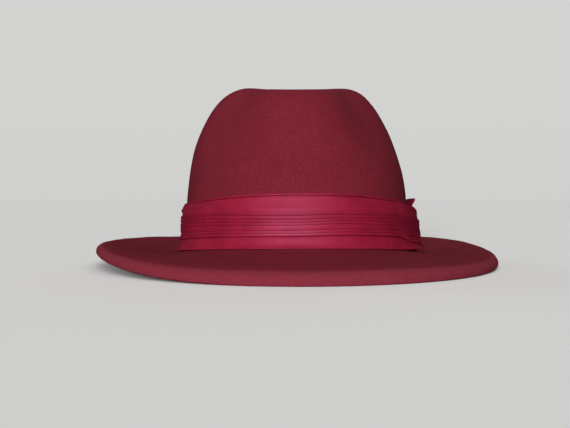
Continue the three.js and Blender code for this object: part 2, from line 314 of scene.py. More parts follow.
def add_object(name, data, material=None):
    """Puts a mesh, light or camera in the scene."""
    thing = bpy.data.objects.new(name, data)
    bpy.context.scene.collection.objects.link(thing)
    if material is not None:
        data.materials.clear()
        data.materials.append(material)
    return thing


def bevelled_caps(count, columns):
    """End faces of a sheet's skin, which pair each place on its front with the one behind it."""
    i = np.arange(count // 2 - 1)
    last = np.stack([i, i + 1, count - 2 - i, count - 1 - i], -1) * columns
    return np.concatenate([last[:, ::-1], last + columns - 1])


def sheet_skin(centre, facing, thickness):
    """A sheet's closed skin with rounded long edges, from its middle surface in rows and columns.
    Returns the points, the faces and how far across the sheet each row of points lies."""
    half = thickness / 2
    edge_turns = np.radians([22.5, 67.5, 112.5, 157.5])
    up, down = unit(centre[0] - centre[1]), unit(centre[-1] - centre[-2])
    top = [centre[0] + half * (facing[0] * math.cos(a) + up * math.sin(a)) for a in edge_turns]
    low = [centre[-1] + half * (facing[-1] * math.cos(a) + down * math.sin(a)) for a in edge_turns]
    front, behind = centre + half * facing, centre - half * facing
    loops = np.stack([top[1], top[0], *front, *low, *behind[::-1], top[3], top[2]])
    steps = np.linalg.norm(np.diff(centre, axis=0), axis=-1).mean(axis=-1)
    across = np.concatenate([[0], np.cumsum(steps)])
    across = np.concatenate([[0, 0], across, [across[-1]] * 4, across[::-1], [0, 0]])
    count, columns = loops.shape[:2]
    faces = around(count + 1, columns, False) % (count * columns)
    return loops, np.concatenate([faces, bevelled_caps(count, columns)]), across


def sheet_mesh(name, centre, facing, thickness):
    """A thin ribbon's mesh from its middle surface on the level hat, with its own cloth layout:
    how far along the ribbon and how far across it each point lies, in metres."""
    points, faces, across = sheet_skin(centre, facing, thickness)
    middle = centre[len(centre) // 2]
    along = np.concatenate([[0], np.cumsum(np.linalg.norm(np.diff(middle, axis=0), axis=-1))])
    uv = np.stack(np.broadcast_arrays(along[None, :], across[:, None]), -1) * MM
    return make_mesh(name, settle(points), faces, uv)


# ---------- settings ----------


class FedoraFelt(bpy.types.PropertyGroup):
    wall: bpy.props.FloatProperty(
        name="Wall", description="Thickness of the moulded felt",
        default=FELT_WALL * MM, min=0.0005, max=0.004, unit="LENGTH", precision=4)
    unevenness: bpy.props.FloatProperty(
        name="Unevenness", description="Height of the slow waves that hand blocking leaves",
        default=0.00035, min=0, max=0.002, unit="LENGTH", precision=5)
    colour: bpy.props.FloatVectorProperty(
        name="Colour", description="Dyed wool, where the nap stands up",
        default=(0.186, 0.0150, 0.0262), min=0, max=1, subtype="COLOR")
    # A painted sheen: how much paler colour is added on the brim's edge
    painted_edge_sheen: bpy.props.FloatVectorProperty(
        name="Painted_Edge_Sheen", description="How much paler the brim's edge is, where the nap is rubbed",
        default=(0.036, 0.009, 0.013), min=0, max=1, subtype="COLOR")
    shade: bpy.props.FloatVectorProperty(
        name="Shade", description="Dyed wool, where the nap lies down",
        default=(0.108, 0.0080, 0.0145), min=0, max=1, subtype="COLOR")


class FedoraRibbon(bpy.types.PropertyGroup):
    thickness: bpy.props.FloatProperty(
        name="Thickness", description="Thickness of the ribbon where it is folded double",
        default=0.00050, min=0.0002, max=0.002, unit="LENGTH", precision=5)
    pleat_depth: bpy.props.FloatProperty(
        name="Pleat Depth", description="Height of each pleat, with what the next one hides",
        default=0.0038, min=0.001, max=0.01, unit="LENGTH", precision=5)
    pleat_roll: bpy.props.FloatProperty(
        name="Pleat Roll", description="Thickness of each pleat's soft fold",
        default=0.0009, min=0.0003, max=0.003, unit="LENGTH", precision=5)
    pleat_tilt: bpy.props.FloatProperty(
        name="Pleat Tilt", description="How far each pleat's upper fold leans out from the crown",
        default=math.radians(19), min=0, max=1, subtype="ANGLE")
    hem: bpy.props.FloatProperty(
        name="Hem", description="Height of the rolled hem along the plain ribbon's top edge",
        default=0.0013, min=0.0004, max=0.003, unit="LENGTH", precision=5)
    colour: bpy.props.FloatVectorProperty(
        name="Colour", description="Dye of the ribbon",
        default=(0.294, 0.0093, 0.0335), min=0, max=1, subtype="COLOR")
    # shade: the ribbon's darker colour, the low end of its random mottle and the painted shade
    # between its ribs and in its tucks
    shade: bpy.props.FloatVectorProperty(
        name="Shade", description="Dye of the ribbon between its ribs",
        default=(0.206, 0.0058, 0.0225), min=0, max=1, subtype="COLOR")
    rib: bpy.props.FloatProperty(
        name="Rib", description="Distance from one woven rib to the next",
        default=0.0006, min=0.0002, max=0.003, unit="LENGTH", precision=5)


class FedoraStage(bpy.types.PropertyGroup):
    floor_colour: bpy.props.FloatVectorProperty(
        name="Floor", description="Colour of the floor",
        default=(0.93, 0.925, 0.91), min=0, max=1, subtype="COLOR")
    front_strength: bpy.props.FloatProperty(
        name="Front Light", description="Strength of the light from in front, low down",
        default=2.55, min=0)
    window_strength: bpy.props.FloatProperty(
        name="Window", description="Strength of the wide light in front, which the ribbon mirrors",
        default=1.60, min=0)
    side_strength: bpy.props.FloatProperty(
        name="Side Light", description="Strength of the light behind, on the wearer's right",
        default=0.4, min=0)
    back_strength: bpy.props.FloatProperty(
        name="Back Light", description="Strength of the wide light from behind and above",
        default=0.6, min=0)
    lens: bpy.props.FloatProperty(
        name="Lens", description="Focal length of the camera",
        default=0.0550, min=0.01, max=0.3, unit="CAMERA")


# ---------- materials ----------


class Wiring:
    """A short way to place and wire nodes in one tree."""

    def __init__(self, tree):
        self.tree = tree

    def add(self, kind, settings=None, **sockets):
        node = self.tree.nodes.new(kind)
        for key, value in (settings or {}).items():
            setattr(node, key, value)
        for key, value in sockets.items():
            self.feed(node.inputs[key.replace("_", " ")], value)
        return node

    def feed(self, socket, value):
        if isinstance(value, bpy.types.NodeSocket):
            self.tree.links.new(value, socket)
        else:
            socket.default_value = value

    def maths(self, operation, *values, kind="ShaderNodeMath", result="Value"):
        node = self.add(kind, {"operation": operation})
        for socket, value in zip(node.inputs, values):
            self.feed(socket, value)
        return node.outputs[result]

    def between(self, share, first, second):
        """A value between two others."""
        node = self.add("ShaderNodeMix", {"data_type": "FLOAT"})
        for i, value in zip((0, 2, 3), (share, first, second)):
            self.feed(node.inputs[i], value)
        return node.outputs[0]

    def blend(self, share, first, second, way="MIX"):
        """A colour between two others, or the first with a share of the second added."""
        node = self.add("ShaderNodeMix", {"data_type": "RGBA", "blend_type": way})
        for i, value in zip((0, 6, 7), (share, first, second)):
            self.feed(node.inputs[i], value)
        return node.outputs[2]

    def ramp(self, value, low, high, **sockets):
        """Eases from 0 to 1, or to another value, while the given one goes from low to high."""
        return self.add("ShaderNodeMapRange", {"interpolation_type": "SMOOTHSTEP"}, Value=value,
                        From_Min=low, From_Max=high, **sockets).outputs[0]


def group_tree(name, kind, inputs, outputs):
    """A new node tree: its nodes, the values given to it and the values that it makes."""
    tree = bpy.data.node_groups.new(name, kind)
    for way, sockets in (("INPUT", inputs), ("OUTPUT", outputs)):
        for label, socket_type, default in sockets:
            socket = tree.interface.new_socket(label, in_out=way, socket_type=socket_type)
            if default is not None:
                socket.default_value = default
    nodes = Wiring(tree)
    return nodes, nodes.add("NodeGroupInput").outputs, nodes.add("NodeGroupOutput").inputs


MOTTLE_SPREAD = (0.35, 0.65)    # the noise that gives the shade, and that gives the full colour


def cloth_mottle_group():
    """Uneven dye and nap: broad clouds and fine flecks, as a colour and a height."""
    name = "Cloth mottle"
    if name in bpy.data.node_groups:
        return bpy.data.node_groups[name]
    nodes, given, made = group_tree(
        name, "ShaderNodeTree",
        [("Place", "NodeSocketVector", None), ("Colour", "NodeSocketColor", None),
         ("Shade", "NodeSocketColor", None), ("Cloud Size", "NodeSocketFloat", 0.02),
         ("Fleck Size", "NodeSocketFloat", 0.0012), ("Fleck Share", "NodeSocketFloat", 0.5)],
        [("Colour", "NodeSocketColor", None), ("Height", "NodeSocketFloat", None)])

    def noise_of(size, detail):
        scale = nodes.maths("DIVIDE", 1.0, given[size])
        return nodes.add("ShaderNodeTexNoise", Vector=given["Place"], Scale=scale,
                         Detail=detail, Roughness=0.72).outputs["Fac"]

    clouds, flecks = noise_of("Cloud Size", 3.0), noise_of("Fleck Size", 6.0)
    spread = nodes.ramp(nodes.between(given["Fleck Share"], clouds, flecks), *MOTTLE_SPREAD)
    nodes.feed(made["Colour"], nodes.blend(spread, given["Shade"], given["Colour"]))
    nodes.feed(made["Height"], flecks)
    return nodes.tree


def rim_share_group():
    """How much of a place lies in the outermost part of an oval round the middle."""
    name = "Rim share"
    if name in bpy.data.node_groups:
        return bpy.data.node_groups[name]
    nodes, given, made = group_tree(
        name, "ShaderNodeTree",
        [("Place", "NodeSocketVector", None), ("Oval", "NodeSocketVector", (1, 1, 1)),
         ("Start", "NodeSocketFloat", 0.96), ("Full", "NodeSocketFloat", 0.98)],
        [("Share", "NodeSocketFloat", None)])
    vectors = {"kind": "ShaderNodeVectorMath", "result": "Vector"}
    flat = nodes.maths("MULTIPLY", given["Place"], (1, 1, 0), **vectors)
    scaled = nodes.maths("DIVIDE", flat, given["Oval"], **vectors)
    reach = nodes.maths("LENGTH", scaled, kind="ShaderNodeVectorMath")
    nodes.feed(made["Share"], nodes.ramp(reach, given["Start"], given["Full"]))
    return nodes.tree


RIB_WOBBLE = 0.35               # how far a rib strays, in ribs
RIB_SHADE = 0.35                # how much painted shade, in the darker colour, shows between the ribs


def ribbon_ribs_group():
    """Fine ribs across a ribbon, as a height and as a share of painted shade between them."""
    name = "Ribbon ribs"
    if name in bpy.data.node_groups:
        return bpy.data.node_groups[name]
    nodes, given, made = group_tree(
        name, "ShaderNodeTree",
        [("Layout", "NodeSocketVector", None), ("Rib", "NodeSocketFloat", 0.0006)],
        [("Height", "NodeSocketFloat", None), ("Valley", "NodeSocketFloat", None)])
    parts = nodes.add("ShaderNodeSeparateXYZ", Vector=given["Layout"])
    wobble = nodes.add("ShaderNodeTexNoise", Vector=given["Layout"], Scale=400.0, Detail=2.0)
    turns = nodes.maths("DIVIDE", parts.outputs["X"], given["Rib"])
    shifted = nodes.maths("MULTIPLY_ADD", wobble.outputs["Fac"], RIB_WOBBLE, turns)
    wave = nodes.maths("COSINE", nodes.maths("MULTIPLY", shifted, 2 * math.pi))
    height = nodes.add("ShaderNodeMapRange", Value=wave, From_Min=-1.0)
    valley = nodes.add("ShaderNodeMapRange", Value=wave, From_Min=-1.0, From_Max=0.2,
                       To_Min=1.0, To_Max=0.0)
    nodes.feed(made["Height"], height.outputs[0])
    nodes.feed(made["Valley"], valley.outputs[0])
    return nodes.tree


def new_material(name, roughness, specular, specular_tint):
    """A material with its nodes, and its surface shader with the plain values set."""
    material = bpy.data.materials.new(name)
    material.use_nodes = True
    shader = material.node_tree.nodes["Principled BSDF"]
    for socket, value in (("Roughness", roughness), ("Specular IOR Level", specular),
                          ("Specular Tint", (*specular_tint, 1))):
        shader.inputs[socket].default_value = value
    return material, Wiring(material.node_tree), shader


def wool_felt(settings):
    """Matt felt with a short nap: flecked dye, a fibrous skin, and a painted sheen that makes the
    brim's edge paler.
    """
    material, nodes, shader = new_material(
        "Wool felt", roughness=0.85, specular=0.12, specular_tint=(1.0, 0.7, 0.9))
    place = nodes.add("ShaderNodeTexCoord").outputs["Object"]
    mottle = nodes.add("ShaderNodeGroup", {"node_tree": cloth_mottle_group()}, Place=place,
                       Colour=(*settings.colour, 1), Shade=(*settings.shade, 1),
                       Cloud_Size=0.030, Fleck_Size=0.0010, Fleck_Share=0.88)
    fibres = nodes.add("ShaderNodeTexNoise", Vector=place, Scale=1500.0, Detail=3.0, Roughness=0.7)
    nap = nodes.between(0.5, mottle.outputs["Height"], fibres.outputs["Fac"])
    bump = nodes.add("ShaderNodeBump", Strength=0.6, Distance=0.0005, Height=nap)
    half_width, half_length = (MM * FELT_RINGS["edge"][i] for i in (0, 1))
    # Painted sheen: a pale colour added on the brim's outermost edge, where the turned lip faces
    # the lights in front
    rim = nodes.add("ShaderNodeGroup", {"node_tree": rim_share_group()}, Place=place,
                    Oval=(half_width, half_length, 1), Start=0.955, Full=0.975)
    given_painted_sheen = nodes.blend(rim.outputs["Share"], mottle.outputs["Colour"], (*settings.painted_edge_sheen, 1), "ADD")
    nodes.feed(shader.inputs["Base Color"], given_painted_sheen)
    nodes.feed(shader.inputs["Normal"], bump.outputs["Normal"])
    return material


# The tuck attribute grows down each pleat, to this where the pleat goes in behind the next one;
# there the ribbon's colour is darkened as painted shadow.
TUCKED = 10.0
TUCK_START, TUCK_FULL = 9.40, 9.95      # where the painted shadow starts, and where it is darkest
TUCK_SHADE = 0.8                # how much of the painted shadow colour shows there
PAINTED_SHADOW_SHARE = 0.3                # how dark the painted shadow colour is, as a share of the shade's


def ribbon_cloth(name, settings, painted_shade_brightness=1.0):
    """Ribbed ribbon with a low satin gloss, with painted shade between its ribs and painted shadow
    where a pleat goes in behind the next one; a brightness below 1 dims its whole colour as painted
    shade.
    """
    material, nodes, shader = new_material(
        name, roughness=0.47, specular=0.70, specular_tint=(1.0, 0.28, 0.53))
    layout = nodes.add("ShaderNodeUVMap", {"uv_map": "UVMap"}).outputs["UV"]
    place = nodes.add("ShaderNodeTexCoord").outputs["Object"]
    # A brightness below 1 dims every colour as painted shade
    colour, shade, deep = (
        (*(share * painted_shade_brightness * channel for channel in tone), 1)
        for share, tone in (
            (1, settings.colour), (1, settings.shade), (PAINTED_SHADOW_SHARE, settings.shade)))
    ribs = nodes.add("ShaderNodeGroup", {"node_tree": ribbon_ribs_group()},
                     Layout=layout, Rib=settings.rib)
    mottle = nodes.add("ShaderNodeGroup", {"node_tree": cloth_mottle_group()}, Place=place,
                       Colour=colour, Shade=shade,
                       Cloud_Size=0.018, Fleck_Size=0.0007, Fleck_Share=0.45)
    # Painted shade between the ribs: the darker colour mixed in where the ribs' height is lowest
    sunk = nodes.maths("MULTIPLY", ribs.outputs["Valley"], RIB_SHADE)
    mottle_and_painted_rib_shade = nodes.blend(sunk, mottle.outputs["Colour"], shade)
    # Painted shadow where a pleat goes in behind the next one, read from the tuck attribute
    tuck = nodes.add("ShaderNodeAttribute", {"attribute_name": "tuck"}).outputs["Fac"]
    painted_tuck_shade = nodes.ramp(tuck, TUCK_START * MM, TUCK_FULL * MM, To_Max=TUCK_SHADE)
    bump = nodes.add("ShaderNodeBump", Strength=0.35, Distance=0.00012,
                     Height=ribs.outputs["Height"])
    nodes.feed(shader.inputs["Base Color"], nodes.blend(painted_tuck_shade, mottle_and_painted_rib_shade, deep))
    nodes.feed(shader.inputs["Normal"], bump.outputs["Normal"])
    return material


# ---------- folds that follow a line ----------


FOLD_ROUND = 0.48               # a fold's rounded corners, as a share of its thickness


def swept_fold_tree():
    """Sweeps a folded edge of ribbon along each line. Every point's facing turns the fold's face;
    the fold's lower edge runs on the line, and its body reaches up from there."""
    name = "Swept fold"
    if name in bpy.data.node_groups:
        return bpy.data.node_groups[name]
    nodes, given, made = group_tree(
        name, "GeometryNodeTree",
        [("Geometry", "NodeSocketGeometry", None), ("Depth", "NodeSocketFloat", 0.0036),
         ("Thickness", "NodeSocketFloat", 0.0005), ("Tilt", "NodeSocketFloat", 0.3),
         ("Material", "NodeSocketMaterial", None)],
        [("Geometry", "NodeSocketGeometry", None)])

    lines = nodes.add("GeometryNodeMeshToCurve", Mesh=given["Geometry"])
    facing = nodes.add("GeometryNodeInputNamedAttribute", {"data_type": "FLOAT_VECTOR"},
                       Name="facing")
    turned = nodes.add("GeometryNodeSetCurveNormal", {"mode": "FREE"}, Curve=lines.outputs[0],
                       Normal=facing.outputs["Attribute"])
    run = nodes.add("GeometryNodeCaptureAttribute", {"domain": "POINT"})
    run.capture_items.new("FLOAT", "Run")
    nodes.feed(run.inputs["Geometry"], turned.outputs[0])
    nodes.feed(run.inputs["Run"], nodes.add("GeometryNodeSplineParameter").outputs["Length"])

    slab = nodes.add("GeometryNodeCurvePrimitiveQuadrilateral", Width=given["Thickness"],
                     Height=given["Depth"])
    rounded = nodes.add("GeometryNodeFilletCurve", {"mode": "POLY"}, Curve=slab.outputs[0], Count=4,
                        Radius=nodes.maths("MULTIPLY", given["Thickness"], FOLD_ROUND))
    shift = nodes.add("ShaderNodeCombineXYZ", X=nodes.maths("MULTIPLY", given["Thickness"], -0.5),
                      Y=nodes.maths("MULTIPLY", given["Depth"], -0.5))
    hung = nodes.add("GeometryNodeTransform", Geometry=rounded.outputs[0],
                     Translation=shift.outputs[0])
    lean = nodes.add("ShaderNodeCombineXYZ", Z=given["Tilt"])
    leaning = nodes.add("GeometryNodeTransform", Geometry=hung.outputs[0], Rotation=lean.outputs[0])
    place = nodes.add("GeometryNodeInputPosition")
    apart = nodes.add("ShaderNodeSeparateXYZ", Vector=place.outputs[0])
    across = nodes.add("GeometryNodeCaptureAttribute", {"domain": "POINT"})
    across.capture_items.new("FLOAT", "Across")
    nodes.feed(across.inputs["Geometry"], leaning.outputs[0])
    nodes.feed(across.inputs["Across"], apart.outputs["Y"])

    swept = nodes.add("GeometryNodeCurveToMesh", Curve=run.outputs["Geometry"],
                      Profile_Curve=across.outputs["Geometry"], Fill_Caps=True)
    layout = nodes.add("ShaderNodeCombineXYZ", X=run.outputs["Run"], Y=across.outputs["Across"])
    laid_out = nodes.add("GeometryNodeStoreNamedAttribute",
                         {"data_type": "FLOAT2", "domain": "CORNER"},
                         Geometry=swept.outputs[0], Name="UVMap", Value=layout.outputs[0])
    # The tuck attribute, from which the ribbon's material paints shadow where a pleat goes in
    # behind the next one
    start = nodes.add("GeometryNodeInputNamedAttribute", {"data_type": "FLOAT"}, Name="start")
    tuck = nodes.maths("ADD", start.outputs["Attribute"], across.outputs["Across"])
    tucked = nodes.add("GeometryNodeStoreNamedAttribute", {"data_type": "FLOAT", "domain": "POINT"},
                       Geometry=laid_out.outputs[0], Name="tuck", Value=tuck)
    smooth = nodes.add("GeometryNodeSetShadeSmooth", Geometry=tucked.outputs[0])
    real = nodes.add("GeometryNodeRealizeInstances", Geometry=smooth.outputs[0])
    finished = nodes.add("GeometryNodeSetMaterial", Geometry=real.outputs[0],
                         Material=given["Material"])
    nodes.feed(made["Geometry"], finished.outputs[0])
    return nodes.tree


def set_input(modifier, label, value):
    """Sets one of a Geometry Nodes modifier's inputs, found by its label."""
    for socket in modifier.node_group.interface.items_tree:
        if socket.item_type == "SOCKET" and socket.in_out == "INPUT" and socket.name == label:
            modifier[socket.identifier] = value
            return
    raise KeyError(label)


ALL_BARE = 9.0                  # more than any fold's height, so all of it stays bare of painted shadow


def sweep_fold(name, lines, material, depth, thickness, tilt, closed=False):
    """A mesh with a fold swept along each line. A line is its points on the level hat, the way
    that it faces at each, and how far down from its upper edge the fold stays bare there."""
    points, facings, starts, edges = [], [], [], []
    for line, facing, bare in lines:
        first = len(points)
        points += settle(line).tolist()
        facings += lean_back(facing).tolist()
        starts += (MM * (TUCKED - bare) + depth).tolist()
        edges += [(i, i + 1) for i in range(first, len(points) - 1)]
        if closed:
            edges.append((len(points) - 1, first))
    guide = bpy.data.meshes.new(name + "_guide")
    guide.from_pydata(points, edges, [])
    for label, kind, key, values in (("facing", "FLOAT_VECTOR", "vector", facings),
                                     ("start", "FLOAT", "value", starts)):
        attribute = guide.attributes.new(label, kind, "POINT")
        attribute.data.foreach_set(key, np.array(values, np.float32).ravel())
    carrier = add_object(name + "_guide", guide)
    modifier = carrier.modifiers.new("Swept fold", "NODES")
    modifier.node_group = swept_fold_tree()
    for label, value in (("Depth", depth), ("Thickness", thickness), ("Tilt", tilt),
                         ("Material", material)):
        set_input(modifier, label, value)
    graph = bpy.context.evaluated_depsgraph_get()
    mesh = bpy.data.meshes.new_from_object(carrier.evaluated_get(graph))
    carrier.modifiers.clear()
    bpy.data.objects.remove(carrier)
    mesh.name = name
    return mesh


# ---------- the pieces ----------

FELT_COLUMNS = 288
OUTER_ROWS_PER_RING = 6
INNER_ROWS_PER_RING = 3
EDGE_SHARE = 0.26               # of the first ring's width, taken by the rounded edge
BROAD_WAVE, NARROW_WAVE = 34, 11
NARROW_SHARE = 0.45             # the narrow waves' height against the broad ones'
ELSEWHERE = Vector((7, 3, 5))   # where in the noise the narrow waves are read


def felt_profile():
    """The felt's section from the crease over the crown and brim, round the edge, and back inside:
    how far along the rings each row lies, and how deep in the felt as a share of its wall."""
    turns = np.radians(np.arange(15, 180, 15))
    outer = np.linspace(LAST_RING, EDGE_SHARE, OUTER_ROWS_PER_RING * LAST_RING)
    inner = np.linspace(EDGE_SHARE, LAST_RING, INNER_ROWS_PER_RING * LAST_RING)
    along = np.concatenate([outer, EDGE_SHARE * (1 - np.sin(turns)), inner])
    depth = np.concatenate([0 * outer, (1 - np.cos(turns)) / 2, 1 + 0 * inner])
    return along, depth


def slow_waves(points, along, height):
    """Small unevenness over the felt, none under the ribbons."""
    above_foot, above_band = (
        smoothstep(along, low, high)
        for low, high in ((BREAK - 0.6, BREAK), (BAND_TOP, BAND_TOP + 0.5)))
    bare = 1 - above_foot * (1 - above_band)
    waves = [
        noise.noise(Vector(p) / BROAD_WAVE)
        + NARROW_SHARE * noise.noise(Vector(p) / NARROW_WAVE + ELSEWHERE)
        for p in points.reshape(-1, 3)
    ]
    return height * np.array(waves).reshape(points.shape[:2]) * bare[:, None]


def make_felt(settings):
    """The crown and brim's closed skin. At the crease both its sides are closed across the slit."""
    along, depth = felt_profile()
    rows, columns = np.meshgrid(along, whole_turn(FELT_COLUMNS), indexing="ij")
    wall = settings.wall / MM
    outer = felt_point(rows, columns)
    waves = slow_waves(outer, along, settings.unevenness / MM)
    points = outer + felt_normal(rows, columns) * (waves - depth[:, None] * wall)[..., None]
    count = len(along)
    faces = around(count, FELT_COLUMNS, True)
    i = np.arange(FELT_COLUMNS // 2)
    across_slit = np.stack([i, i + 1, FELT_COLUMNS - i - 1, (FELT_COLUMNS - i) % FELT_COLUMNS], -1)
    caps = [list(dict.fromkeys(quad)) for quad in across_slit.tolist()]
    inside = (count - 1) * FELT_COLUMNS
    faces = [*faces.tolist(), *caps, *[[inside + v for v in cap[::-1]] for cap in caps]]
    return make_mesh("felt", settle(points), faces)


def ribbon_angles(first, last, step_deg=1.25):
    return np.linspace(first, last, round(math.degrees(last - first) / step_deg) + 1)


def band_place(along, angle, stand_off, loose):
    """Points of the pleated ribbon, and the way that they face. loose is 1 on the plain strips,
    which have the loose fold on the wearer's right, and 0 on the pleats."""
    height = felt_point(along, angle)[..., 2]
    lift = ribbon_lift(angle) + ripple(angle, height) * loose
    return lifted(along, angle, stand_off, lift), felt_normal(along, angle)


def band_strip(name, top, bottom, stand_off, end, thickness, flare=0.0, rows=11):
    """A plain strip of the band between two lines, given by where they lie along the felt.
    stand_off gives how far its outer face stands off the felt, from top to bottom."""
    angle = ribbon_angles(TUCKED_END, end)
    share = np.linspace(0, 1, rows)[:, None]
    along = mix(top(angle)[None, :], bottom(angle)[None, :], share)
    out = np.interp(share, np.linspace(0, 1, len(stand_off)), stand_off) - thickness / 2
    out = out + flare * share**2 * smoothstep(angle, LIFT_START, LIFT_FULL)
    points, facing = band_place(along, np.broadcast_to(angle, along.shape), out, 1.0)
    return sheet_mesh(name, points, facing, thickness)


def joined(name, meshes, material):
    """One object from several meshes."""
    parts = [add_object(name, mesh, material) for mesh in meshes]
    with bpy.context.temp_override(active_object=parts[0], object=parts[0],
                                   selected_editable_objects=parts, selected_objects=parts):
        bpy.ops.object.join()
    return parts[0]


# How far each plain strip swells out over the ribbon's own face, from its upper edge down
TOP_SWELL = (0, 0.1, 0.35, PLEAT_STEP, PLEAT_STEP - 0.1)
BOTTOM_SWELL = (0, 0.2, -0.2, -0.7, -1.3)
BOTTOM_LAP = 1.6                # how far the bottom strip reaches up behind the pleats
BOTTOM_FLARE = 1.6              # how much further its lower edge stands off at the free end
BOTTOM_END = FREE_END + math.radians(1.5)
LOW_PLEAT = 2.0                 # height of the narrow pleat at the foot of the others
LOW_PLEAT_STEP = 0.35           # how far it stands off the one behind it


def make_band(settings, material):
    """The two plain strips and, between them, pleats that each lap up over the one above."""
    thickness = settings.thickness / MM
    face = BAND_START + RIBBON_WALL
    proud = face + PLEAT_STEP                  # where the pleats' lower edges stand

    def along_fold(fold, above=0.0):
        return lambda angle: along_at_height(fold_height(fold, angle) + above, angle)

    strips = [
        band_strip("top_strip", along_fold(RIBBON_TOP), along_fold(RIBBON_FOLDS[0]),
                   face + np.array(TOP_SWELL), FREE_END, thickness),
        band_strip("bottom_strip", along_fold(RIBBON_FOLDS[-1], BOTTOM_LAP),
                   lambda angle: HEM_ALONG + 0 * angle, face + np.array(BOTTOM_SWELL), BOTTOM_END,
                   thickness, flare=BOTTOM_FLARE),
    ]
    lines = []
    for fold, under, end in zip(RIBBON_FOLDS[1:], (*RIBBON_FOLDS[2:], None), PLEAT_ENDS_DEG):
        angle = ribbon_angles(TUCKED_END, FREE_END + math.radians(end))
        stand_off = np.full(angle.shape, proud)
        line, facing = band_place(along_fold(fold)(angle), angle, stand_off, 0.0)
        bare = np.full(angle.shape, settings.pleat_depth / MM - LOW_PLEAT)
        if under:           # bare down to the next pleat's upper edge
            below, _ = band_place(along_fold(under)(angle), angle, stand_off, 0.0)
            bare = np.linalg.norm(line - below, axis=-1)
        lines.append((line, facing, bare))
    # The narrow pleat lies over the foot of the last wide one, and ends where it does
    foot = band_place(along_fold(RIBBON_FOLDS[-1])(angle), angle, stand_off + LOW_PLEAT_STEP, 0.0)
    folds = [
        sweep_fold(name, guides, material, depth, settings.pleat_roll, settings.pleat_tilt)
        for name, guides, depth in (
            ("pleats", lines, settings.pleat_depth),
            ("low_pleat", [(*foot, np.full(angle.shape, ALL_BARE))], LOW_PLEAT * MM))
    ]
    return joined("pleated_band", [*strips, *folds], material)


BASE_FOOT = BREAK + 0.5         # the base ribbon's lower edge, in rings of the felt
BASE_GAP = GAP + 0.1            # between it and the felt
BASE_ROWS = 12
HEM_PLIES = 2.4                 # thickness of the rolled hem, in ribbons
HEM_OUT = 3.0                   # how far its face stands off, in ribbons


def make_base_ribbon(settings, material):
    """The plain ribbon, and the hem that runs all round its top edge."""
    thickness = settings.thickness / MM
    angle = ribbon_angles(-math.pi, math.pi)
    top = along_at_height(fold_height(BASE_RIBBON_TOP, angle), angle)
    share = np.linspace(0, 1, BASE_ROWS)[:, None]
    along = mix(top[None, :], BASE_FOOT, share)
    angles = np.broadcast_to(angle, along.shape)
    points = off_felt(along, angles, np.full(along.shape, BASE_GAP + thickness / 2))
    ribbon = sheet_mesh("base_ribbon_cloth", points, felt_normal(along, angles), thickness)
    start = fold_height(BASE_RIBBON_TOP, angle[:-1]) - settings.hem / MM
    on_felt = along_at_height(start, angle[:-1])
    line = off_felt(on_felt, angle[:-1], np.full(start.shape, BASE_GAP + HEM_OUT * thickness))
    hem_line = (line, felt_normal(on_felt, angle[:-1]), np.full(start.shape, ALL_BARE))
    hem = sweep_fold("hem", [hem_line], material, settings.hem, HEM_PLIES * settings.thickness,
                     0.0, closed=True)
    return (add_object("base_ribbon_cloth", ribbon, material),
            add_object("rolled_hem", hem, material))


TAIL_ROWS, TAIL_COLUMNS = 21, 26


def make_tail(settings, material):
    """The tail, drawn in towards the crown at its waist and turned out at its corner."""
    low_angle, high_angle, z_low, z_high, out = TAIL_STATIONS.T
    stations = np.linspace(0, len(TAIL_STATIONS) - 1, TAIL_COLUMNS)
    at = np.arange(len(TAIL_STATIONS))

    def between(low, high, share):
        return mix(np.interp(stations, at, low), np.interp(stations, at, high), share)

    share = np.linspace(1, 0, TAIL_ROWS)[:, None]
    angle = np.radians(between(low_angle, high_angle, share))
    along = along_at_height(between(z_low, z_high, share), angle)
    thickness = settings.thickness / MM
    bend = tail_bend(share) * np.interp(stations, at, out)
    points = lifted(along, angle, TAIL_START + RIBBON_WALL / 2 + 0 * angle, bend)
    return add_object("tail_cloth", sheet_mesh("tail_cloth", points, felt_normal(along, angle),
                                               thickness), material)


# ---------- the stage ----------


def aim(thing, direction):
    thing.rotation_mode = "QUATERNION"
    thing.rotation_quaternion = Vector(direction).to_track_quat("-Z", "Y")


# Each far light: the way from the hat to it, how large it looks in degrees, and whether the hat's
# gloss shows it.
LIGHTS = {
    "front": ((-0.22, -1.0, 0.19), 14, True),
    "window": ((-0.05, -1.0, 0.66), 45, True),
    "side": ((-0.77, 0.64, 0.25), 30, False),
    "back": ((0.35, 1.0, 1.1), 60, False),
}


def add_light(name, strength):
    towards, width_deg, glossy = LIGHTS[name]
    data = bpy.data.lights.new(name + " light", "SUN")
    data.energy, data.angle = strength, math.radians(width_deg)
    lamp = add_object(name + " light", data)
    lamp.location = towards
    lamp.visible_glossy = glossy
    aim(lamp, -lamp.location)


CAMERA_REACH = 620.0            # from the middle of the head opening
CAMERA_SIDE = math.radians(2)   # towards the wearer's right
CAMERA_DROP = 10.0              # below the line where brim meets crown
AIM_RIGHT = -0.0126             # where the camera points, off the straight line ahead
AIM_UP = 0.0574


def place_camera(lens):
    data = bpy.data.cameras.new("camera")
    data.sensor_width, data.lens = 36.0, lens / MM
    camera = add_object("camera", data)
    side, ahead = math.sin(CAMERA_SIDE), math.cos(CAMERA_SIDE)
    eye = np.array([-side * CAMERA_REACH, -ahead * CAMERA_REACH, -CAMERA_DROP])
    look = np.array([side, ahead, 0]) + AIM_RIGHT * np.array([ahead, -side, 0]) + (0, 0, AIM_UP)
    camera.location = settle(eye)
    aim(camera, lean_back(look))
    bpy.context.scene.camera = camera


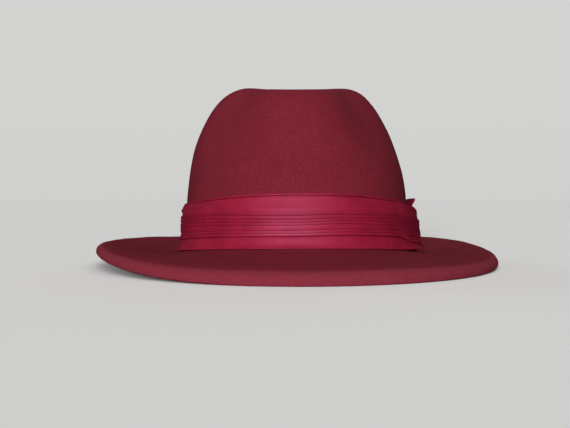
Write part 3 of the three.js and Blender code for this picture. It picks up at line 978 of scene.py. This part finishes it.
def make_floor(colour):
    """A wide round pale floor, which throws no colour back on the hat."""
    sides, radius = 128, 6.0
    angle = whole_turn(sides)
    rim = np.stack([radius * np.cos(angle), radius * np.sin(angle), 0 * angle], -1)
    material, nodes, shader = new_material(
        "Pale paper", roughness=0.9, specular=0.5, specular_tint=(1, 1, 1))
    nodes.feed(shader.inputs["Base Color"], (*colour, 1))
    floor = add_object("floor", make_mesh("floor", rim, [list(range(sides))]), material)
    floor.visible_diffuse = floor.visible_glossy = False


SKIRTING, WALL, CEILING = (0.63, 0.63, 0.615), (0.65, 0.65, 0.64), (0.60, 0.60, 0.60)
WALL_STARTS, CEILING_STARTS = (-0.02, 0.14), (0.25, 0.8)   # how steeply one looks up at each
ROOM_SHARE = 0.15               # how much of the walls' brightness falls on the hat
MIRROR_SHARE = 0.01             # and how much of it shows in the hat's gloss


def make_world():
    """A room with pale walls, dimmer near the floor and overhead."""
    world = bpy.data.worlds.new("soft room")
    world.use_nodes = True
    nodes = Wiring(world.node_tree)
    direction = nodes.add("ShaderNodeTexCoord").outputs["Generated"]
    height = nodes.add("ShaderNodeSeparateXYZ", Vector=direction).outputs["Z"]
    colour = (*SKIRTING, 1)
    for (start, full), tone in ((WALL_STARTS, WALL), (CEILING_STARTS, CEILING)):
        colour = nodes.blend(nodes.ramp(height, start, full), colour, (*tone, 1))
    path = nodes.add("ShaderNodeLightPath").outputs
    seen = nodes.add("ShaderNodeMapRange", Value=path["Is Camera Ray"], To_Min=ROOM_SHARE)
    strength = nodes.maths("MULTIPLY_ADD", path["Is Glossy Ray"], MIRROR_SHARE - ROOM_SHARE,
                           seen.outputs[0])
    background = world.node_tree.nodes["Background"]
    nodes.feed(background.inputs["Color"], colour)
    nodes.feed(background.inputs["Strength"], strength)
    bpy.context.scene.world = world


# ---------- operators ----------


def dress(piece, slot, *nodes):
    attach(piece, "root")
    if nodes:
        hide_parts(*nodes)


class FEDORA_OT_felt(bpy.types.Operator):
    """Makes the crown and brim, one moulded piece of felt"""

    bl_idname = "fedora.felt"
    bl_label = "Felt Body"

    def execute(self, context):
        settings = context.scene.fedora_felt
        piece = add_object("felt_crown_and_brim", make_felt(settings), wool_felt(settings))
        dress(piece, "wool_felt", "felt_body")
        return {"FINISHED"}


class FEDORA_OT_base_ribbon(bpy.types.Operator):
    """Makes the plain ribbon next to the felt, with the rolled hem on its top edge"""

    bl_idname = "fedora.base_ribbon"
    bl_label = "Base Ribbon"

    def execute(self, context):
        settings = context.scene.fedora_ribbon
        ribbon, hem = make_base_ribbon(settings, ribbon_cloth("Base ribbon", settings))
        dress(ribbon, "base_ribbon", "base_ribbon")
        dress(hem, "base_ribbon")
        return {"FINISHED"}


class FEDORA_OT_pleated_band(bpy.types.Operator):
    """Makes the pleated ribbon round the crown, with its free end standing off"""

    bl_idname = "fedora.pleated_band"
    bl_label = "Pleated Band"

    def execute(self, context):
        settings = context.scene.fedora_ribbon
        band = make_band(settings, ribbon_cloth("Pleated ribbon", settings))
        dress(band, "band_ribbon", "hat_band")
        return {"FINISHED"}


class FEDORA_OT_tail(bpy.types.Operator):
    """Makes the flat tail of ribbon behind the band's free end"""

    bl_idname = "fedora.tail"
    bl_label = "Ribbon Tail"

    def execute(self, context):
        settings = context.scene.fedora_ribbon
        # The tail's ribbon is dimmed to 0.8 as painted shade, for the shade it lies in at the hat's
        # side
        tail = make_tail(settings, ribbon_cloth("Ribbon tail", settings, painted_shade_brightness=0.8))
        dress(tail, "tail_ribbon", "ribbon_tail")
        return {"FINISHED"}


class FEDORA_OT_stage(bpy.types.Operator):
    """Makes the floor, the lights and the camera"""

    bl_idname = "fedora.stage"
    bl_label = "Stage"

    def execute(self, context):
        settings = context.scene.fedora_stage
        make_floor(settings.floor_colour)
        make_world()
        for name in LIGHTS:
            add_light(name, getattr(settings, name + "_strength"))
        place_camera(settings.lens)
        context.scene.view_settings.view_transform = "Standard"
        return {"FINISHED"}


class FEDORA_PT_panel(bpy.types.Panel):
    """Lists the fedora's settings and pieces"""

    bl_idname = "FEDORA_PT_panel"
    bl_label = "Fedora"
    bl_space_type = "VIEW_3D"
    bl_region_type = "UI"
    bl_category = "Fedora"

    def draw(self, context):
        for name in ("fedora_felt", "fedora_ribbon", "fedora_stage"):
            box = self.layout.box()
            settings = getattr(context.scene, name)
            for key in settings.bl_rna.properties.keys():
                if key not in ("rna_type", "name"):
                    box.prop(settings, key)
        for operator in OPERATORS:
            self.layout.operator(operator.bl_idname)


SETTINGS = {"fedora_felt": FedoraFelt, "fedora_ribbon": FedoraRibbon, "fedora_stage": FedoraStage}
OPERATORS = (FEDORA_OT_felt, FEDORA_OT_base_ribbon, FEDORA_OT_pleated_band, FEDORA_OT_tail,
             FEDORA_OT_stage)


def register():
    for cls in (*SETTINGS.values(), *OPERATORS, FEDORA_PT_panel):
        bpy.utils.register_class(cls)
    for name, group in SETTINGS.items():
        setattr(bpy.types.Scene, name, bpy.props.PointerProperty(type=group))


def unregister():
    for name in SETTINGS:
        delattr(bpy.types.Scene, name)
    for cls in (FEDORA_PT_panel, *reversed(OPERATORS), *SETTINGS.values()):
        bpy.utils.unregister_class(cls)


def main():
    register()
    for operator in OPERATORS:
        group, name = operator.bl_idname.split(".")
        getattr(getattr(bpy.ops, group), name)()


if __name__ == "__main__":
    main()
